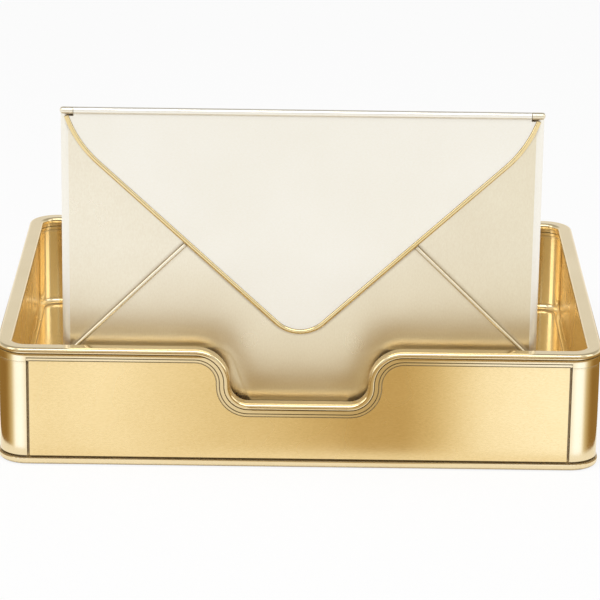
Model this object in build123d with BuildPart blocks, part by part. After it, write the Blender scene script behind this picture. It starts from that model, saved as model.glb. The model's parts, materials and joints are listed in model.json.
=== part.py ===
from build123d import *
import os
from math import acos, atan2, cos, sin, sqrt

# Open letter tray with a finger notch in its front wall. A metal envelope stands in a channel on the
# floor, close behind the front wall, and its pointed flap swings on a pin along the top edge.
# Millimetres. +Z is up, the front wall faces -Y, and the origin is on the table under the tray's middle.

os.makedirs("parts", exist_ok=True)

# ---------------------------------------------------------------- tray, overall
tray_width = 330.0  # over the rim lip
tray_depth = 254.0  # over the rim lip
tray_height = 67.5  # table to the top of the rim
corner_radius = 16.8  # outside of the rim lip, in plan

# ---------------------------------------------------------------- rim: a lip on a stepped collar
lip_width = 8.4
lip_height = 3.5
lip_edge_radius = 1.7
lip_overhang = 0.9  # lip beyond the walls' outer face
upper_collar_height = 1.8
upper_collar_proud = 0.5  # beyond the walls' outer face
upper_collar_inside = 1.6  # thickness of the skirt on the walls' inner face
lower_collar_height = 1.0
lower_collar_proud = 0.25
lower_collar_inside = 1.1
collar_groove_height = 0.65  # dark line below each collar step
collar_groove_depth = 0.4  # behind the walls' outer face
collar_groove_inside = 0.5  # thickness of the skirt at the grooves on the walls' inner face
collar_seat = 1.0  # depth of the walls' rebate that takes the outer collar

# ---------------------------------------------------------------- walls and corner posts
wall_thickness = 4.5
cove_radius = 3.0  # inside foot of each wall
cove_toe = 0.4  # height of the foot's edge above the floor
seam_width = 1.5  # dark groove round each panel
seam_depth = 2.4

# ---------------------------------------------------------------- finger notch in the front wall
notch_width = 75.2  # between the lip's faces
notch_shoulder_radius = 19.0
notch_side_height = 1.6  # upright stretch between the two arcs
notch_bottom_radius = 10.0

# ---------------------------------------------------------------- base, floor, feet and screws
base_stand = 0.4  # base plate above the table
base_thickness = 3.6
base_proud = 0.7  # base plate beyond the walls' outer face
base_bottom_radius = 1.6
base_top_radius = 0.5
floor_raise = 6.0  # floor plate above the base plate
floor_thickness = 2.5
floor_ledge = 5.0  # how far the walls' feet reach in under the floor plate
floor_clearance = 0.1  # between the floor plate and the walls' feet
foot_radius = 8.0
foot_sink = 1.6  # how far a foot sits in the base plate
foot_edge_radius = 0.5
foot_inset = 30.0  # foot centre from the tray's outside

screw_radius = 1.5
screw_head_radius = 2.8
screw_head_sink = 0.2  # head below the base plate's underside
screw_clearance = 0.05
screw_socket_radius = 1.1
screw_socket_depth = 0.9
base_screw_length = 6.0
base_screw_inset = 5.2  # screw axis from the walls' outer face
front_screw_spacing = 150.0  # two screws in the front wall and two in the back wall

# ---------------------------------------------------------------- envelope
envelope_width = 258.4
envelope_thickness = 8.4  # without the flaps in front
envelope_setback = 15.0  # front face of the side flaps behind the rim lip's front
envelope_top = 199.5  # top of the hinge barrel above the table
panel_thickness = 1.2  # back panel and side flaps
bottom_bar_height = 4.0
body_top_drop = 4.0  # top of the spines and panels below the barrel's top

flap_point = 68.4  # height where the top flap's two straight edges would meet
flap_side = 187.6  # height where each of them would reach the envelope's side
flap_tip_radius = 18.5
flap_corner_radius = 63.0
flap_corner_inset = 3.4  # edge wire's upper end from the envelope's side
flap_shoulder_gap = 0.9  # edge wire's upper end below the hinge knuckles' feet
flap_thickness = 1.4
flap_standoff = 1.0  # gap between the top flap and the bottom flap
flap_overlap = 12.0  # side flaps reach this far under the top flap
edge_wire_radius = 1.35

seam_peak = 184.0  # height where the two seam wires would meet
seam_side = 57.5  # height where each of them would reach the envelope's side
seam_wire_radius = 1.0
seam_overlap = 8.0  # side flaps reach this far behind the bottom flap
bottom_flap_thickness = 1.0
bottom_flap_top = 132.0
bottom_flap_corner_radius = 10.0
wire_end_gap = 0.5  # between a seam wire's end and the edge wire

barrel_radius = 1.9
pin_radius = 0.7
pin_clearance = 0.05
knuckle_length = 7.0
knuckle_gap = 0.3
knuckle_end_radius = 1.7
knuckle_back = 4.2  # knuckle foot behind the side flaps' front face
knuckle_foot_height = 2.1
pin_end_cover = 2.0  # knuckle wall over the pin's end

# ---------------------------------------------------------------- channel that the envelope stands in
channel_length = 236.0
channel_base = 2.5
channel_wall = 1.5
channel_height = 10.0  # flanges above the channel's base
channel_clearance = 0.3
channel_edge_radius = 0.6
channel_screw_spacing = 100.0
channel_screw_cover = 0.5  # channel left above a screw's tip

# ---------------------------------------------------------------- heights and places worked out from these
base_top = base_stand + base_thickness
ledge_top = base_top + floor_raise
floor_top = ledge_top + floor_thickness
lip_bottom = tray_height - lip_height
upper_collar_bottom = lip_bottom - upper_collar_height
lower_collar_top = upper_collar_bottom - collar_groove_height
lower_collar_bottom = lower_collar_top - lower_collar_height
collar_drop = tray_height - lower_collar_bottom + collar_groove_height
collar_bottom = tray_height - collar_drop
half_width = tray_width / 2
half_depth = tray_depth / 2
rail_half_x = half_width - corner_radius
rail_half_y = half_depth - corner_radius
wall_corner_radius = corner_radius - lip_overhang
foot_reach = wall_thickness + cove_radius  # wall's outer face to its foot's inner edge
front_face_y = -half_depth + lip_overhang

envelope_front_y = -half_depth + envelope_setback
envelope_bottom = floor_top + channel_base
half_envelope = envelope_width / 2
spine_radius = envelope_thickness / 2
panel_half_width = half_envelope - spine_radius
body_top = envelope_top - body_top_drop
barrel_z = envelope_top - barrel_radius
bottom_flap_front_y = envelope_front_y - bottom_flap_thickness
flap_back_y = bottom_flap_front_y - flap_standoff
barrel_y = flap_back_y - flap_thickness / 2
envelope_back_y = envelope_front_y + envelope_thickness

flap_slope = atan2(flap_side - flap_point, half_envelope)
flap_rise = (flap_side - flap_point) / half_envelope
seam_slope = atan2(seam_peak - seam_side, half_envelope)
seam_fall = (seam_peak - seam_side) / half_envelope
UP = Vector(0, 0, 1)


def save(piece, name):
    """Label a finished piece and write it as its own file."""
    piece.part.label = name
    export_step(piece.part, f"parts/{name}.step")


def outward_plane(centre, outward):
    """Upright plane through centre whose x points outward and whose y points up."""
    return Plane(origin=centre, x_dir=outward, z_dir=outward.cross(UP))


def face_plane(y):
    """Upright plane at y, seen from the front: x to the right, y up, normal towards the front."""
    return Plane.XZ.offset(-y)


# ================================================================ tray: sections of the walls and rim
def wall_section(outer):
    """Upright wall whose outer face is at x = outer, with its base groove, ledge, coved foot and rim seat."""
    inner = outer - wall_thickness
    toe = outer - foot_reach
    toe_top = floor_top + cove_toe
    with BuildLine() as outline:
        Polyline(
            (toe, toe_top),
            (toe, ledge_top),
            (toe - floor_ledge, ledge_top),
            (toe - floor_ledge, base_top),
            (outer - seam_depth, base_top),
            (outer - seam_depth, base_top + seam_width),
            (outer, base_top + seam_width),
            (outer, collar_bottom),
            (outer - collar_seat, collar_bottom),
            (outer - collar_seat, lip_bottom),
            (inner, lip_bottom),
            (inner, toe_top + cove_radius),
        )
        RadiusArc((inner, toe_top + cove_radius), (toe, toe_top), cove_radius)
    make_face(outline.edges())


def collar_spans(outer, stepped):
    """The collar's bands as (low x, high x, low z, high z), for a lip that ends at x = outer."""
    face = outer - lip_overhang
    seat = face - collar_seat
    groove = face - collar_groove_depth
    inner = face - wall_thickness
    plain_band = [(seat, face + upper_collar_proud, collar_bottom, lip_bottom)]
    stepped_bands = [
        (seat, face + upper_collar_proud, upper_collar_bottom, lip_bottom),
        (seat, groove, lower_collar_top, upper_collar_bottom),
        (seat, face + lower_collar_proud, lower_collar_bottom, lower_collar_top),
        (seat, groove, collar_bottom, lower_collar_bottom),
    ]
    inside_bands = [
        (inner - upper_collar_inside, inner, upper_collar_bottom, lip_bottom),
        (inner - collar_groove_inside, inner, lower_collar_top, upper_collar_bottom),
        (inner - lower_collar_inside, inner, collar_bottom, lower_collar_top),
    ]
    return (stepped_bands if stepped else plain_band) + inside_bands


def rim_section(outer, stepped=True):
    """Rounded lip whose outside is at x = outer, with the skirts that hang on both sides of the wall."""
    with Locations((outer - lip_width / 2, tray_height - lip_height / 2)):
        RectangleRounded(lip_width, lip_height, lip_edge_radius)
    for low, high, bottom, top in collar_spans(outer, stepped):
        with Locations(((low + high) / 2, (bottom + top) / 2)):
            Rectangle(high - low, top - bottom)


def cut_end_seams(outward, outer, half_length):
    """Cut the upright groove at both ends of a wall panel's outer face."""
    with BuildSketch(Plane(origin=UP * base_top, x_dir=outward, z_dir=UP)) as grooves:
        for end in (-1, 1):
            with Locations((outer - seam_depth / 2, end * (half_length - seam_width / 2))):
                Rectangle(seam_depth, seam_width)
    extrude(grooves.sketch, amount=collar_bottom - base_top, mode=Mode.SUBTRACT)


# name: direction that it faces, the lip's distance from the middle, half length between the corners
SIDES = {
    "front": (Vector(0, -1, 0), half_depth, rail_half_x),
    "back": (Vector(0, 1, 0), half_depth, rail_half_x),
    "left": (Vector(-1, 0, 0), half_width, rail_half_y),
    "right": (Vector(1, 0, 0), half_width, rail_half_y),
}
# name: signs of x and y, direction where its quarter turn starts
CORNERS = {
    "front_left": (-1, -1, Vector(-1, 0, 0)),
    "front_right": (1, -1, Vector(0, -1, 0)),
    "back_left": (-1, 1, Vector(0, 1, 0)),
    "back_right": (1, 1, Vector(1, 0, 0)),
}


# ================================================================ tray: screw and foot places
def base_screw_places():
    """One screw in each corner post's foot, two in each long wall and one in each short wall."""
    places = []
    reach = (wall_corner_radius - base_screw_inset) / sqrt(2)
    for sign_x, sign_y, _ in CORNERS.values():
        places.append((sign_x * (rail_half_x + reach), sign_y * (rail_half_y + reach)))
    long_wall = half_depth - lip_overhang - base_screw_inset
    short_wall = half_width - lip_overhang - base_screw_inset
    for sign in (-1, 1):
        places.append((-front_screw_spacing / 2, sign * long_wall))
        places.append((front_screw_spacing / 2, sign * long_wall))
        places.append((sign * short_wall, 0))
    return places


channel_middle_y = (bottom_flap_front_y + envelope_back_y) / 2
screw_bottom = base_stand + screw_head_sink
base_screws_at = base_screw_places()
channel_screws_at = [(step * channel_screw_spacing, channel_middle_y) for step in (-1, 0, 1)]
channel_screw_length = envelope_bottom - channel_screw_cover - screw_bottom
screw_head_height = screw_head_radius - screw_radius
foot_x = half_width - foot_inset
foot_y = half_depth - foot_inset
feet_at = [(sign_x * foot_x, sign_y * foot_y) for sign_x, sign_y, _ in CORNERS.values()]
STANDING = (Align.CENTER, Align.CENTER, Align.MIN)


def screws(places, length):
    """Countersunk screws standing head down at the given places."""
    with BuildPart() as group:
        for x, y in places:
            with Locations((x, y, screw_bottom)):
                Cone(screw_head_radius, screw_radius, screw_head_height, align=STANDING)
                Cylinder(screw_radius, length, align=STANDING)
        with BuildSketch(Plane.XY.offset(screw_bottom)):
            with Locations(*places):
                RegularPolygon(screw_socket_radius, 6)
        extrude(amount=screw_socket_depth, mode=Mode.SUBTRACT)
    return group


def cut_screw_holes(places, bottom, top):
    """Cut clear round holes for the screws' shanks."""
    with BuildSketch(Plane.XY.offset(bottom)) as holes:
        with Locations(*places):
            Circle(screw_radius + screw_clearance)
    extrude(holes.sketch, amount=top - bottom, mode=Mode.SUBTRACT)


# ================================================================ tray: base, floor, feet and screws
with BuildPart() as base_plate:
    edge = lip_overhang - base_proud
    with BuildSketch(Plane.XY.offset(base_stand)):
        RectangleRounded(tray_width - 2 * edge, tray_depth - 2 * edge, corner_radius - edge)
    extrude(amount=base_thickness)
    fillet(base_plate.faces().sort_by(Axis.Z)[0].edges(), base_bottom_radius)
    fillet(base_plate.faces().sort_by(Axis.Z)[-1].edges(), base_top_radius)
    with BuildSketch(Plane.XY.offset(base_stand)):
        with Locations(*feet_at):
            Circle(foot_radius)
    extrude(amount=foot_sink, mode=Mode.SUBTRACT)
    cut_screw_holes(base_screws_at + channel_screws_at, base_stand, base_top)
    sink_depth = screw_head_sink + screw_head_height
    hole_radius = screw_radius + screw_clearance
    for x, y in base_screws_at + channel_screws_at:
        with Locations((x, y, base_stand)):
            Cone(hole_radius + sink_depth, hole_radius, sink_depth, align=STANDING, mode=Mode.SUBTRACT)
save(base_plate, "base_plate")

with BuildPart() as floor_plate:
    edge = lip_overhang + foot_reach + floor_clearance
    with BuildSketch(Plane.XY.offset(ledge_top)):
        RectangleRounded(tray_width - 2 * edge, tray_depth - 2 * edge, corner_radius - edge)
    extrude(amount=floor_thickness)
    cut_screw_holes(channel_screws_at, ledge_top, floor_top)
save(floor_plate, "floor_plate")

with BuildPart() as rubber_feet:
    with BuildSketch():
        with Locations(*feet_at):
            Circle(foot_radius)
    extrude(amount=base_stand + foot_sink)
    fillet(rubber_feet.edges().group_by(Axis.Z)[0], foot_edge_radius)
save(rubber_feet, "rubber_feet")

save(screws(base_screws_at, base_screw_length), "base_screws")
save(screws(channel_screws_at, channel_screw_length), "channel_screws")


# ================================================================ tray: notch outline
def rim_curve(drop):
    """The rim's top edge seen from the front, moved square to itself by drop into the wall."""
    side_x = notch_width / 2 + drop
    shoulder_x = notch_width / 2 + notch_shoulder_radius
    shoulder_radius = notch_shoulder_radius - drop
    side_top = tray_height - notch_shoulder_radius
    side_bottom = side_top - notch_side_height
    bottom_x = notch_width / 2 - notch_bottom_radius
    bottom_radius = notch_bottom_radius + drop
    bottom_z = side_bottom - bottom_radius
    top_z = tray_height - drop
    for sign in (-1, 1):
        Line((sign * rail_half_x, top_z), (sign * shoulder_x, top_z))
        RadiusArc((sign * shoulder_x, top_z), (sign * side_x, side_top), -sign * shoulder_radius)
        Line((sign * side_x, side_top), (sign * side_x, side_bottom))
        RadiusArc((sign * side_x, side_bottom), (sign * bottom_x, bottom_z), sign * bottom_radius)
    Line((-bottom_x, bottom_z), (bottom_x, bottom_z))


def extrude_band(front_y, back_y, upper_drop, lower_drop):
    """Add the strip between two drops of the rim curve, from front_y back to back_y."""
    with BuildSketch(face_plane(front_y)) as band:
        with BuildLine():
            rim_curve(upper_drop)
            rim_curve(lower_drop)
            for sign in (-1, 1):
                end_x = sign * rail_half_x
                Line((end_x, tray_height - upper_drop), (end_x, tray_height - lower_drop))
        make_face()
    extrude(band.sketch, amount=front_y - back_y)


def cut_above_curve(front_y, back_y, drop):
    """Cut away what lies above the rim curve moved down by drop, from front_y back to back_y."""
    with BuildSketch(face_plane(front_y)) as cut:
        with BuildLine():
            rim_curve(drop)
            corners = [(sign * rail_half_x, tray_height - drop) for sign in (-1, 1)]
            Polyline(corners[0], (-rail_half_x, tray_height), (rail_half_x, tray_height), corners[1])
        make_face()
    extrude(cut.sketch, amount=front_y - back_y, mode=Mode.SUBTRACT)


# ================================================================ tray: walls, posts and rim
for side, (outward, reach, half_length) in SIDES.items():
    with BuildPart() as wall:
        with BuildSketch(outward_plane((0, 0, 0), outward)):
            wall_section(reach - lip_overhang)
        extrude(amount=half_length, both=True)
        cut_end_seams(outward, reach - lip_overhang, half_length)
        if side == "front":
            seat_y = front_face_y + collar_seat
            cut_above_curve(front_face_y, seat_y, collar_drop)
            cut_above_curve(seat_y, front_face_y + wall_thickness, lip_height)
        cut_screw_holes(base_screws_at, base_top, screw_bottom + base_screw_length)
    save(wall, f"{side}_wall")

for corner, (sign_x, sign_y, outward) in CORNERS.items():
    centre = (sign_x * rail_half_x, sign_y * rail_half_y, 0)
    with BuildPart() as post:
        with BuildSketch(outward_plane(centre, outward)):
            wall_section(wall_corner_radius)
        revolve(axis=Axis(centre, UP), revolution_arc=90)
        cut_screw_holes(base_screws_at, base_top, screw_bottom + base_screw_length)
    save(post, f"{corner}_post")

    with BuildPart() as elbow:
        with BuildSketch(outward_plane(centre, outward)):
            rim_section(corner_radius, stepped=False)
        revolve(axis=Axis(centre, UP), revolution_arc=90)
    save(elbow, f"{corner}_rim_elbow")

for side in ("back", "left", "right"):
    outward, reach, half_length = SIDES[side]
    with BuildPart() as rim:
        with BuildSketch(outward_plane((0, 0, 0), outward)):
            rim_section(reach)
        extrude(amount=half_length, both=True)
    save(rim, f"{side}_rim")

with BuildPart() as front_rim:
    extrude_band(-half_depth, -half_depth + lip_width, 0, lip_height)
    lengthwise = front_rim.edges().filter_by(Axis.Y, reverse=True)
    long_edges = lengthwise.filter_by(lambda edge: abs(edge.center().X) < rail_half_x - lip_edge_radius)
    fillet(long_edges, lip_edge_radius)
    for low, high, bottom, top in collar_spans(half_depth, stepped=True):
        extrude_band(-high, -low, tray_height - top, tray_height - bottom)
save(front_rim, "front_rim")

# ================================================================ tray: channel for the envelope
with BuildPart() as envelope_channel:
    channel_front = bottom_flap_front_y - channel_clearance
    channel_back = envelope_back_y + channel_clearance
    flange_top = envelope_bottom + channel_height
    with BuildSketch(Plane.YZ):
        with BuildLine():
            Polyline(
                (channel_front - channel_wall, floor_top),
                (channel_back + channel_wall, floor_top),
                (channel_back + channel_wall, flange_top),
                (channel_back, flange_top),
                (channel_back, envelope_bottom),
                (channel_front, envelope_bottom),
                (channel_front, flange_top),
                (channel_front - channel_wall, flange_top),
                close=True,
            )
        make_face()
    extrude(amount=channel_length / 2, both=True)
    fillet(envelope_channel.edges().filter_by(Axis.X).group_by(Axis.Z)[-1], channel_edge_radius)
    cut_screw_holes(channel_screws_at, floor_top, envelope_bottom - channel_screw_cover)
save(envelope_channel, "envelope_channel")

# ================================================================ envelope: back, spines and bottom bar
with BuildPart() as back_panel:
    with BuildSketch(face_plane(envelope_back_y)):
        with Locations((0, envelope_bottom)):
            Rectangle(2 * panel_half_width, body_top - envelope_bottom, align=(Align.CENTER, Align.MIN))
    extrude(amount=panel_thickness)
save(back_panel, "back_panel")

with BuildPart() as bottom_bar:
    with BuildSketch(face_plane(envelope_back_y - panel_thickness)):
        with Locations((0, envelope_bottom)):
            Rectangle(2 * panel_half_width, bottom_bar_height, align=(Align.CENTER, Align.MIN))
    extrude(amount=envelope_thickness - 2 * panel_thickness)
save(bottom_bar, "bottom_bar")

for side, sign in (("left", -1), ("right", 1)):
    with BuildPart() as spine:
        with BuildSketch(Plane.XY.offset(envelope_bottom)):
            with BuildLine():
                Line((sign * panel_half_width, envelope_back_y), (sign * panel_half_width, envelope_front_y))
                ThreePointArc(
                    (sign * panel_half_width, envelope_front_y),
                    (sign * half_envelope, envelope_front_y + spine_radius),
                    (sign * panel_half_width, envelope_back_y),
                )
            make_face()
        extrude(amount=body_top - envelope_bottom)
    save(spine, f"{side}_spine")


# ================================================================ envelope: flaps on the front
def flap_edge_height(x):
    """Height of the top flap's straight edge at x."""
    return flap_point + flap_rise * abs(x)


def seam_height(x):
    """Height of the seam wire's axis at x."""
    return seam_peak - seam_fall * abs(x)


# The side flaps' upper edges run under the top flap, and their lower edges behind the bottom flap.
upper_shift = flap_overlap / cos(flap_slope)
lower_shift = seam_overlap / cos(seam_slope)
throat_x = (seam_peak - lower_shift - flap_point - upper_shift) / (flap_rise + seam_fall)
upper_x = (body_top - flap_point - upper_shift) / flap_rise

for side, sign in (("left", -1), ("right", 1)):
    with BuildPart() as side_flap:
        with BuildSketch(face_plane(envelope_front_y)):
            with BuildLine():
                Polyline(
                    (sign * panel_half_width, body_top),
                    (sign * upper_x, body_top),
                    (sign * throat_x, seam_height(throat_x) - lower_shift),
                    (sign * panel_half_width, seam_height(panel_half_width) - lower_shift),
                    close=True,
                )
            make_face()
        extrude(amount=-panel_thickness)
    save(side_flap, f"{side}_side_flap")

# The bottom flap's slanting edges lie against the inner side of the seam wires.
wire_shift = seam_wire_radius / cos(seam_slope)
bottom_flap_top_x = (seam_peak - wire_shift - bottom_flap_top) / seam_fall
with BuildPart() as bottom_flap:
    with BuildSketch(face_plane(envelope_front_y)):
        with BuildLine():
            Polyline(
                (-panel_half_width, envelope_bottom),
                (panel_half_width, envelope_bottom),
                (panel_half_width, seam_height(panel_half_width) - wire_shift),
                (bottom_flap_top_x, bottom_flap_top),
                (-bottom_flap_top_x, bottom_flap_top),
                (-panel_half_width, seam_height(panel_half_width) - wire_shift),
                close=True,
            )
        make_face()
    extrude(amount=bottom_flap_thickness)
    fillet(bottom_flap.edges().filter_by(Axis.Y).group_by(Axis.Z)[-1], bottom_flap_corner_radius)
save(bottom_flap, "bottom_flap")

# Each seam wire runs from the spine up to just short of the top flap's edge wire.
crossing_x = (seam_peak - flap_point) / (flap_rise + seam_fall)
wire_step = (edge_wire_radius + wire_end_gap) / sin(flap_slope + seam_slope)
wire_top_x = crossing_x + wire_step * cos(seam_slope)
wire_y = envelope_front_y - seam_wire_radius
for side, sign in (("left", -1), ("right", 1)):
    start = Vector(sign * panel_half_width, wire_y, seam_height(panel_half_width))
    end = Vector(sign * wire_top_x, wire_y, seam_height(wire_top_x))
    with BuildPart() as seam_wire:
        with BuildSketch(Plane(origin=start, z_dir=end - start)):
            Circle(seam_wire_radius)
        extrude(amount=(end - start).length)
    save(seam_wire, f"{side}_seam_wire")

# ================================================================ envelope: hinge
barrel_half = half_envelope - knuckle_length - knuckle_gap
pin_half = half_envelope - pin_end_cover


def lengthwise_rod(radius, low_x, high_x, mode=Mode.ADD):
    """Rod along X on the hinge axis."""
    with Locations(((low_x + high_x) / 2, barrel_y, barrel_z)):
        Cylinder(radius, high_x - low_x, rotation=(0, 90, 0), mode=mode)


for side, sign in (("left", -1), ("right", 1)):
    inner_x = half_envelope - knuckle_length
    low_x, high_x = sorted((sign * inner_x, sign * half_envelope))
    with BuildPart() as knuckle:
        lengthwise_rod(barrel_radius, low_x, high_x)
        outer_end = knuckle.edges().sort_by(Axis.X)[-1 if sign > 0 else 0]
        fillet(outer_end, knuckle_end_radius)
        with BuildSketch(Plane.XY.offset(body_top)):
            with BuildLine():
                Polyline(
                    (sign * panel_half_width, envelope_front_y),
                    (sign * panel_half_width, barrel_y),
                    (sign * inner_x, barrel_y),
                    (sign * inner_x, envelope_front_y + knuckle_back),
                    (sign * half_envelope, envelope_front_y + knuckle_back),
                )
                RadiusArc(
                    (sign * panel_half_width, envelope_front_y),
                    (sign * half_envelope, envelope_front_y + knuckle_back),
                    -sign * spine_radius,
                )
            make_face()
        extrude(amount=knuckle_foot_height)
        bore_low, bore_high = sorted((sign * inner_x, sign * pin_half))
        lengthwise_rod(pin_radius + pin_clearance, bore_low, bore_high, Mode.SUBTRACT)
    save(knuckle, f"{side}_hinge_knuckle")

with BuildPart() as hinge_pin:
    lengthwise_rod(pin_radius, -pin_half, pin_half)
save(hinge_pin, "hinge_pin")

# ================================================================ top flap and its edge wire
flap_shoulder = body_top - flap_shoulder_gap
corner_end_x = half_envelope - flap_corner_inset
corner_rise = (flap_shoulder - flap_edge_height(corner_end_x)) * cos(flap_slope)
corner_tilt = flap_slope + acos(1 - corner_rise / flap_corner_radius)
corner_centre_x = corner_end_x - flap_corner_radius * sin(corner_tilt)
corner_centre_z = flap_shoulder + flap_corner_radius * cos(corner_tilt)
tip_centre_z = flap_point + flap_tip_radius / cos(flap_slope)


def flap_curve(inset):
    """The flap's edge from shoulder to shoulder, moved into the flap by inset. Returns the shoulder's x."""
    turn_x = sin(flap_slope)
    turn_z = cos(flap_slope)
    corner = flap_corner_radius - inset
    tip = flap_tip_radius - inset
    shoulder_x = corner_centre_x + sqrt(corner**2 - (corner_centre_z - flap_shoulder) ** 2)
    for sign in (-1, 1):
        corner_end = (sign * (corner_centre_x + corner * turn_x), corner_centre_z - corner * turn_z)
        tip_end = (sign * tip * turn_x, tip_centre_z - tip * turn_z)
        RadiusArc((sign * shoulder_x, flap_shoulder), corner_end, sign * corner)
        Line(corner_end, tip_end)
        RadiusArc(tip_end, (0, tip_centre_z - tip), sign * tip)
    return shoulder_x


with BuildPart() as top_flap:
    with BuildSketch(face_plane(flap_back_y)):
        with BuildLine():
            shoulder_x = flap_curve(edge_wire_radius)
            Polyline(
                (-shoulder_x, flap_shoulder),
                (-barrel_half, flap_shoulder),
                (-barrel_half, barrel_z),
                (barrel_half, barrel_z),
                (barrel_half, flap_shoulder),
                (shoulder_x, flap_shoulder),
            )
        make_face()
    extrude(amount=flap_thickness)
    lengthwise_rod(barrel_radius, -barrel_half, barrel_half)
    lengthwise_rod(pin_radius + pin_clearance, -barrel_half, barrel_half, Mode.SUBTRACT)
save(top_flap, "top_flap")

with BuildPart() as flap_edge_wire:
    with BuildLine(face_plane(barrel_y)) as wire_route:
        flap_curve(0)
    route = wire_route.wires()[0]
    with BuildSketch(Plane(origin=route @ 0, z_dir=route % 0)):
        Circle(edge_wire_radius)
    sweep(path=route)
save(flap_edge_wire, "flap_edge_wire")
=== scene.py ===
import json
from math import cos, pi, radians, sin

import bpy
from mathutils import Matrix, Vector

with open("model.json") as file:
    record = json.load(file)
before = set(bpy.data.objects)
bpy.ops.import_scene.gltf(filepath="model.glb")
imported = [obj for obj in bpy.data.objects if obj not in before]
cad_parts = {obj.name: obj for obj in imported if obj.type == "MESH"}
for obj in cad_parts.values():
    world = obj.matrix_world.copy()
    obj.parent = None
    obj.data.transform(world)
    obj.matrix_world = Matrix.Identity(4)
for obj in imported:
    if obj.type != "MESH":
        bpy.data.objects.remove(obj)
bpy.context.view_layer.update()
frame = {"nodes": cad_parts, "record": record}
nodes = frame["nodes"]
scene = bpy.context.scene
scene.view_settings.view_transform = "Standard"

# ---------------------------------------------------------------- camera
# Placed by the photograph: a long lens, 18 degrees above the table, with a slight roll.
TARGET = Vector((0.00004, 0.0, 0.0555))
DISTANCE = 1.9075
ELEVATION = radians(18.10)
AZIMUTH = radians(0.073)
ROLL = radians(0.7585)

camera_data = bpy.data.cameras.new("camera")
camera_data.sensor_width = 36.0
camera_data.lens = 197.9
camera_data.clip_start = 0.1
camera_data.clip_end = 50.0
camera = bpy.data.objects.new("camera", camera_data)
scene.collection.objects.link(camera)
back = Vector((-sin(AZIMUTH) * cos(ELEVATION), -cos(AZIMUTH) * cos(ELEVATION), sin(ELEVATION)))
camera.location = TARGET + back * DISTANCE
upright = (-back).to_track_quat("-Z", "Y").to_matrix()
camera.rotation_euler = (upright @ Matrix.Rotation(ROLL, 3, "Z")).to_euler()
scene.camera = camera

# ---------------------------------------------------------------- shader nodes
# Sockets of a Mix node that mixes colours.
MIX_FACTOR, MIX_LOW, MIX_HIGH, MIX_RESULT = 0, 6, 7, 2
# Nearly all of a noise texture's values lie between these.
NOISE_LOW, NOISE_HIGH = 0.3, 0.7


class Nodes:
    """Small helper that adds and links shader nodes."""

    def __init__(self, tree):
        self.tree = tree
        tree.nodes.clear()

    def add(self, kind, **settings):
        node = self.tree.nodes.new(kind)
        for name, value in settings.items():
            setattr(node, name, value)
        return node

    def link(self, source, target):
        self.tree.links.new(source, target)


def surface(name, shader_kind):
    """New material with one shader on its surface, as (material, its nodes, the shader)."""
    material = bpy.data.materials.new(name)
    material.use_nodes = True
    graph = Nodes(material.node_tree)
    shader = graph.add(shader_kind)
    output = graph.add("ShaderNodeOutputMaterial")
    graph.link(shader.outputs[0], output.inputs["Surface"])
    return material, graph, shader


def object_coords(graph):
    return graph.add("ShaderNodeTexCoord").outputs["Object"]


def noise(graph, coords, scale, stretch=(1, 1, 1), detail=3.0, roughness=0.5):
    """Noise in object space with the given number of features per metre."""
    mapping = graph.add("ShaderNodeMapping")
    mapping.inputs["Scale"].default_value = stretch
    graph.link(coords, mapping.inputs["Vector"])
    texture = graph.add("ShaderNodeTexNoise")
    texture.inputs["Scale"].default_value = scale
    texture.inputs["Detail"].default_value = detail
    texture.inputs["Roughness"].default_value = roughness
    graph.link(mapping.outputs["Vector"], texture.inputs["Vector"])
    return texture.outputs["Fac"]


def remap(graph, value, low, high, from_low=NOISE_LOW, from_high=NOISE_HIGH):
    """Straight run from low to high while the value goes from from_low to from_high, clamped."""
    node = graph.add("ShaderNodeMapRange")
    node.inputs["From Min"].default_value = from_low
    node.inputs["From Max"].default_value = from_high
    node.inputs["To Min"].default_value = low
    node.inputs["To Max"].default_value = high
    graph.link(value, node.inputs["Value"])
    return node.outputs["Result"]


def mix_colours(graph, factor, low, high, blend="MIX"):
    """Mix of two colours, each given as a plain colour or as a node's output."""
    node = graph.add("ShaderNodeMix", data_type="RGBA", blend_type=blend)
    graph.link(factor, node.inputs[MIX_FACTOR])
    for socket, colour in ((MIX_LOW, low), (MIX_HIGH, high)):
        if isinstance(colour, tuple):
            node.inputs[socket].default_value = (*colour, 1.0)
        else:
            graph.link(colour, node.inputs[socket])
    return node.outputs[MIX_RESULT]


def emboss(graph, shader, pattern, strength, height):
    """Bump of the given height in metres where the pattern is 1."""
    bump = graph.add("ShaderNodeBump")
    bump.inputs["Strength"].default_value = strength
    bump.inputs["Distance"].default_value = height
    graph.link(pattern, bump.inputs["Height"])
    graph.link(bump.outputs["Normal"], shader.inputs["Normal"])


# ---------------------------------------------------------------- materials
# Features per metre of the slow changes of tone and of polish.
TONE_CLOUD, POLISH_CLOUD = 14.0, 32.2
# The part of the grain's range that the tone uses.
SPECKS_LOW, SPECKS_HIGH = 0.35, 0.65
GRAIN_HEIGHT = 0.00005
# Painted shade, dark brown, grows as a seam gets less open, from none to nearly all, and takes the
# mirror away.
SEAM_SHADE_BROWN = (0.24, 0.145, 0.035)
SEAM_SHADE_MOST = 0.95
SEAM_SHUT, SEAM_OPEN = 0.35, 0.95
SEAM_SHADE_MATT = 0.6
SEAM_SAMPLES = 6


def paint_shade_fades(graph, coords, colour, shade_fades):
    """Painted shade that deepens the tone along an axis; a fade is the axis, its two ends and the
    far end's tint.
    """
    axes = graph.add("ShaderNodeSeparateXYZ")
    graph.link(coords, axes.inputs["Vector"])
    for axis, start, end, tint in shade_fades:
        share = remap(graph, axes.outputs[axis], 0.0, 1.0, start, end)
        colour = mix_colours(graph, share, colour, tint, "MULTIPLY")
    return colour


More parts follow.
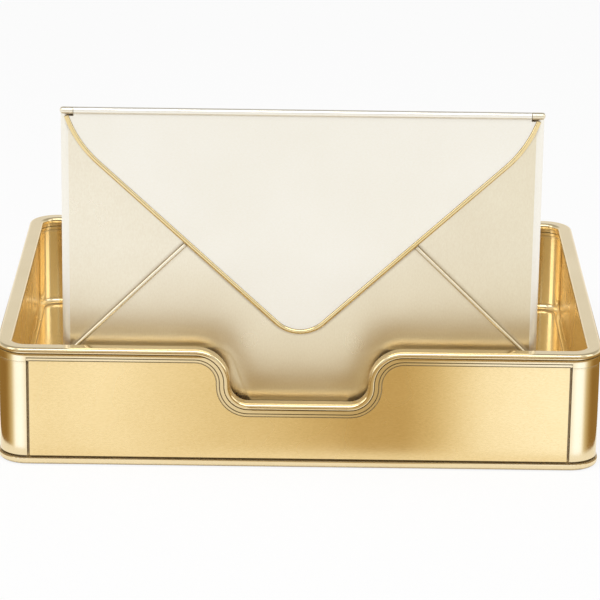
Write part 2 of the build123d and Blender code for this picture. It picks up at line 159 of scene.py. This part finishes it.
def metal(name, deep, light, rough, grain, grain_strength,
          stretch=(1, 1, 1), spread=1.0, reach=0.0024, shade_fades=()):
    """Metal with drifting tone and polish, a fine grain, and painted brown shade down in the seams.

    deep and light are the ends of the tone, rough those of the roughness, grain its features per
    metre, spread the grain's share in the tone, and reach how wide a gap still gets painted seam
    shade.
    """
    material, graph, shader = surface(name, "ShaderNodeBsdfPrincipled")
    coords = object_coords(graph)

    drift = noise(graph, coords, TONE_CLOUD, detail=4.0)
    specks = noise(graph, coords, grain, stretch, detail=2.0, roughness=0.6)
    blend = graph.add("ShaderNodeMath", operation="MULTIPLY_ADD")
    graph.link(specks, blend.inputs[0])
    blend.inputs[1].default_value = spread
    graph.link(drift, blend.inputs[2])
    tone = remap(
        graph, blend.outputs[0], 0.0, 1.0,
        NOISE_LOW + SPECKS_LOW * spread, NOISE_HIGH + SPECKS_HIGH * spread
    )
    colour = mix_colours(graph, tone, deep, light)
    if shade_fades:
        colour = paint_shade_fades(graph, coords, colour, shade_fades)

    # Painted shade: the less open a seam is, the browner and less metallic it gets.
    openness = graph.add("ShaderNodeAmbientOcclusion", samples=SEAM_SAMPLES)
    openness.inputs["Distance"].default_value = reach
    painted_seam_shade = remap(graph, openness.outputs["AO"], SEAM_SHADE_MOST, 0.0, SEAM_SHUT, SEAM_OPEN)
    graph.link(mix_colours(graph, painted_seam_shade, colour, SEAM_SHADE_BROWN), shader.inputs["Base Color"])
    graph.link(remap(graph, painted_seam_shade, 1.0, 0.0, 0.0, SEAM_SHADE_MATT), shader.inputs["Metallic"])

    polish = remap(graph, noise(graph, coords, POLISH_CLOUD, detail=1.5), *rough)
    graph.link(polish, shader.inputs["Roughness"])
    emboss(graph, shader, specks, grain_strength, GRAIN_HEIGHT)
    return material


def rubber(name):
    """Black rubber with fine pores and a little dust."""
    material, graph, shader = surface(name, "ShaderNodeBsdfPrincipled")
    coords = object_coords(graph)
    pores = noise(graph, coords, scale=2200.0)
    dust = noise(graph, coords, scale=120.0, detail=5.0)
    dusty = remap(graph, dust, 0.0, 1.0)
    colour = mix_colours(graph, dusty, low=(0.025, 0.025, 0.025), high=(0.06, 0.058, 0.055))
    graph.link(colour, shader.inputs["Base Color"])
    graph.link(remap(graph, dust, low=0.6, high=0.85), shader.inputs["Roughness"])
    emboss(graph, shader, pores, strength=0.4, height=0.0001)
    return material


STEEL = metal(
    "plain_steel", deep=(0.52, 0.50, 0.47), light=(0.66, 0.64, 0.60), rough=(0.28, 0.40),
    grain=1800.0, grain_strength=0.3
)
BY_SLOT = {
    "polished_gold": metal(
        "polished_gold", deep=(0.84, 0.68, 0.40), light=(0.91, 0.76, 0.48), rough=(0.12, 0.19),
        grain=900.0, grain_strength=0.05, spread=0.3
    ),
    "brushed_gold": metal(
        "brushed_gold", deep=(0.82, 0.61, 0.28), light=(0.93, 0.72, 0.37), rough=(0.22, 0.30),
        grain=1500.0, grain_strength=0.20, stretch=(0.35, 0.35, 1.0)
    ),
    "satin_champagne": metal(
        "satin_champagne", deep=(0.86, 0.78, 0.62), light=(0.93, 0.87, 0.72), rough=(0.27, 0.35),
        grain=1300.0, grain_strength=0.15, stretch=(1.0, 1.0, 0.5),
        # Painted reflection of the gold tray and painted shade: deeper and more golden towards the
        # foot, a little darker towards the right side.
        shade_fades=[("Z", 0.120, 0.060, (0.93, 0.89, 0.80)), ("X", -0.06, 0.12, (0.94, 0.92, 0.86))]
    ),
    "pale_champagne": metal(
        "pale_champagne", deep=(0.93, 0.89, 0.78), light=(0.97, 0.94, 0.86), rough=(0.36, 0.44),
        grain=1300.0, grain_strength=0.12, stretch=(0.6, 1.0, 1.0), reach=0.0030
    ),
    # The wire's wider reach spreads the painted seam shade along both its sides.
    "wire_gold": metal(
        "wire_gold", deep=(0.82, 0.63, 0.29), light=(0.92, 0.76, 0.44), rough=(0.10, 0.16),
        grain=900.0, grain_strength=0.05, spread=0.3, reach=0.0045
    ),
    "screw_steel": STEEL,
    "pin_steel": STEEL,
    "foot_rubber": rubber("foot_rubber"),
}
for subpart in frame["record"]["subparts"]:
    nodes[subpart["node"]].material_slots[0].material = BY_SLOT[subpart["material_slot"]]

# ---------------------------------------------------------------- floor
FLOOR_RADIUS = 6.0
FLOOR_CORNERS = 96
FLOOR_PAINT = 0.92
FLOOR_WHITE = 0.85


def pale_floor():
    """Pale matt paint, which camera, glossy and transmission rays see as mostly plain white."""
    material, graph, blend = surface("pale_floor", "ShaderNodeMixShader")
    paths = graph.add("ShaderNodeLightPath")
    seen = paths.outputs["Is Camera Ray"]
    for ray in ("Is Glossy Ray", "Is Transmission Ray"):
        either = graph.add("ShaderNodeMath", operation="MAXIMUM")
        graph.link(seen, either.inputs[0])
        graph.link(paths.outputs[ray], either.inputs[1])
        seen = either.outputs[0]
    share = graph.add("ShaderNodeMath", operation="MULTIPLY")
    graph.link(seen, share.inputs[0])
    share.inputs[1].default_value = FLOOR_WHITE
    paint = graph.add("ShaderNodeBsdfDiffuse")
    paint.inputs["Color"].default_value = (FLOOR_PAINT, FLOOR_PAINT, FLOOR_PAINT, 1.0)
    white = graph.add("ShaderNodeEmission")
    white.inputs["Strength"].default_value = 1.0
    graph.link(share.outputs[0], blend.inputs["Fac"])
    graph.link(paint.outputs["BSDF"], blend.inputs[1])
    graph.link(white.outputs["Emission"], blend.inputs[2])
    return material


def add_sheet(name, corners, material):
    """One flat stage face through the given corners."""
    mesh = bpy.data.meshes.new(name)
    mesh.from_pydata(corners, [], [list(range(len(corners)))])
    mesh.materials.append(material)
    sheet = bpy.data.objects.new(name, mesh)
    scene.collection.objects.link(sheet)


turns = [2 * pi * i / FLOOR_CORNERS for i in range(FLOOR_CORNERS)]
floor_corners = [(FLOOR_RADIUS * cos(turn), FLOOR_RADIUS * sin(turn), 0.0) for turn in turns]
add_sheet("floor", floor_corners, pale_floor())

# ---------------------------------------------------------------- sky
# Grey levels by the height of the direction looked in. At the front the sky dims low down and
# overhead, at the back towards the zenith. The two blend where the direction turns to the side.
FRONT_SKY = [(0.0, 0.9), (0.12, 0.60), (0.50, 0.60), (0.70, 1.0), (0.84, 1.0), (0.94, 0.50),
             (1.0, 0.48)]
BACK_SKY = [(0.0, 1.0), (0.18, 0.92), (0.33, 0.80), (0.50, 0.50), (0.8, 0.42), (1.0, 0.48)]
SKY_BLEND = 0.25


def ramp(graph, value, stops):
    """Grey level by position, with straight runs between the stops."""
    node = graph.add("ShaderNodeValToRGB")
    elements = node.color_ramp.elements
    for _ in stops[2:]:
        elements.new(0.5)
    for element, (place, grey) in zip(elements, stops):
        element.position = place
        element.color = (grey, grey, grey, 1.0)
    graph.link(value, node.inputs["Fac"])
    return node.outputs["Color"]


world = bpy.data.worlds.new("studio")
scene.world = world
world.use_nodes = True
sky = Nodes(world.node_tree)
direction = sky.add("ShaderNodeSeparateXYZ")
sky.link(sky.add("ShaderNodeTexCoord").outputs["Generated"], direction.inputs["Vector"])
behind = remap(sky, direction.outputs["Y"], 0.0, 1.0, -SKY_BLEND, SKY_BLEND)
front_grey = ramp(sky, direction.outputs["Z"], FRONT_SKY)
back_grey = ramp(sky, direction.outputs["Z"], BACK_SKY)
background = sky.add("ShaderNodeBackground")
background.inputs["Strength"].default_value = 1.0
sky.link(mix_colours(sky, behind, front_grey, back_grey), background.inputs["Color"])
sky_output = sky.add("ShaderNodeOutputWorld")
sky.link(background.outputs["Background"], sky_output.inputs["Surface"])

# ---------------------------------------------------------------- lamps
LAMPS_AIM = Vector((0.0, 0.0, 0.05))


def softbox(name, place, size, radiance):
    """Rectangular soft lamp that faces the object; radiance 1 shows white in a mirror."""
    lamp_data = bpy.data.lights.new(name, "AREA")
    lamp_data.shape = "RECTANGLE"
    lamp_data.size, lamp_data.size_y = size
    lamp_data.energy = radiance * pi * size[0] * size[1]
    lamp = bpy.data.objects.new(name, lamp_data)
    lamp.location = place
    lamp.rotation_euler = (LAMPS_AIM - Vector(place)).to_track_quat("-Z", "Y").to_euler()
    lamp.visible_camera = False
    scene.collection.objects.link(lamp)


softbox("front_bank", place=(0.0, -1.7, 2.4), size=(3.2, 1.2), radiance=2.6)
softbox("left_strip", place=(-2.0, -0.9, 1.1), size=(1.0, 1.4), radiance=1.4)
softbox("right_strip", place=(2.1, -0.7, 1.1), size=(1.0, 1.4), radiance=1.2)

# ---------------------------------------------------------------- reflectors
# Glowing strips that only glossy rays see, as a product studio sets up. A low curtain stands round
# the front of the tray. It gives the posts their bright and dark bands and the front wall its slow
# change of light, and it is lower before the finger notch.
UP = Vector((0, 0, 1))
CORNER_X, CORNER_Y = 0.1482, -0.1102
REACH = 0.040
CURTAIN_FOOT, CURTAIN_TOP = 0.0005, 0.062
# Curtain levels along the tray's side, round its corner (by degrees from the front) and along
# its front.
BY_SIDE_Y = [(0.010, 0.90), (-0.030, 0.30), (-0.070, 0.18)]
BY_ANGLE = [(90, 0.18), (80, 0.18), (70, 0.24), (60, 0.42), (52, 0.62), (46, 0.95), (40, 1.30),
            (30, 1.40), (20, 1.40), (12, 1.30), (6, 1.12)]
BY_FRONT_X = [(-0.148, 1.05), (-0.108, 1.06), (-0.080, 0.97), (-0.040, 0.84), (-0.012, 0.70),
              (0.010, 0.56), (0.032, 0.45), (0.058, 0.45), (0.074, 0.62), (0.088, 0.88),
              (0.102, 1.10), (0.120, 1.20), (0.148, 1.28)]
FRONT_X = [0.001 * i for i in range(-148, 149, 2)]
# Height of the curtain's top by the distance from the middle.
NOTCH_PROFILE = [(0.0, 0.0320), (0.0270, 0.0320), (0.0330, 0.0450), (0.0370, 0.0570),
                 (0.0450, CURTAIN_TOP)]
# A gold shelf along the curtain's top, and gold light out of the slot behind the front wall, show
# in the foot of the envelope and under the lip.
SHELF_LEVEL = 0.30
SHELF_IN, SHELF_OUT = 0.0205, 0.0200
SLOT_LEVEL = 0.40
SLOT_FRONT_Y, SLOT_BACK_Y = -0.1181, -0.1149
SLOT_HALF_WIDTH = 0.126
SLOT_ABOVE_CURTAIN = 0.002
# Powers of the level for red and blue: low levels are gold, and level 1 is white.
RED_POWER, BLUE_POWER = 0.7, 1.7
UNSEEN_BY = ("camera", "diffuse", "transmission", "volume_scatter", "shadow")

GLOW, glow_graph, glow = surface("reflector", "ShaderNodeEmission")
glow_layer_node = glow_graph.add("ShaderNodeVertexColor", layer_name="glow")
glow_graph.link(glow_layer_node.outputs["Color"], glow.inputs["Color"])


def between(stops, x):
    """Value at x, straight between the (x, value) stops."""
    for (x0, value0), (x1, value1) in zip(stops, stops[1:]):
        if x <= x1:
            return value0 + (value1 - value0) * (x - x0) / (x1 - x0)
    return value1


def curtain_height(x):
    """Height of the curtain's top, which follows the front rim down into the finger notch."""
    return between(NOTCH_PROFILE, abs(x))


def corner_path(side):
    """Curtain stops along one side and round its corner, as (foot point, outward, level)."""
    stops = []
    for y, level in BY_SIDE_Y:
        stops.append((Vector((side * (CORNER_X + REACH), y, 0)), Vector((side, 0, 0)), level))
    for angle, level in BY_ANGLE:
        outward = Vector((side * sin(radians(angle)), -cos(radians(angle)), 0))
        stops.append((Vector((side * CORNER_X, CORNER_Y, 0)) + REACH * outward, outward, level))
    return stops


def reflector(name, stops):
    """Glossy-only glowing strip through stops of (point on one edge, point on the other, level)."""
    mesh = bpy.data.meshes.new(name)
    points = [point for stop in stops for point in stop[:2]]
    faces = [(2 * i, 2 * i + 2, 2 * i + 3, 2 * i + 1) for i in range(len(stops) - 1)]
    mesh.from_pydata(points, [], faces)
    glow_layer = mesh.color_attributes.new("glow", "FLOAT_COLOR", "POINT")
    for i, (_, _, level) in enumerate(stops):
        for corner in (2 * i, 2 * i + 1):
            glow_layer.data[corner].color = (level ** RED_POWER, level, level ** BLUE_POWER, 1.0)
    mesh.materials.append(GLOW)
    strip = bpy.data.objects.new(name, mesh)
    scene.collection.objects.link(strip)
    for ray in UNSEEN_BY:
        setattr(strip, "visible_" + ray, False)


# The curtain runs from the left side round the front to the right side.
front_stops = [
    (Vector((x, CORNER_Y - REACH, 0)), Vector((0, -1, 0)), between(BY_FRONT_X, x)) for x in FRONT_X
]
curtain_stops = corner_path(-1) + front_stops + corner_path(1)[::-1]
curtain, shelf = [], []
for foot, outward, level in curtain_stops:
    edge = foot + curtain_height(foot.x) * UP
    curtain.append((foot + CURTAIN_FOOT * UP, edge, level))
    shelf_level = max(SHELF_LEVEL, level) if foot.y > CORNER_Y else SHELF_LEVEL
    shelf.append((edge - SHELF_IN * outward, edge + SHELF_OUT * outward, shelf_level))
reflector("curtain", curtain)
reflector("shelf", shelf)

slot = []
for x in FRONT_X:
    if abs(x) < SLOT_HALF_WIDTH:
        z = curtain_height(x) + SLOT_ABOVE_CURTAIN
        slot.append(((x, SLOT_FRONT_Y, z), (x, SLOT_BACK_Y, z), SLOT_LEVEL))
reflector("slot_glow", slot)
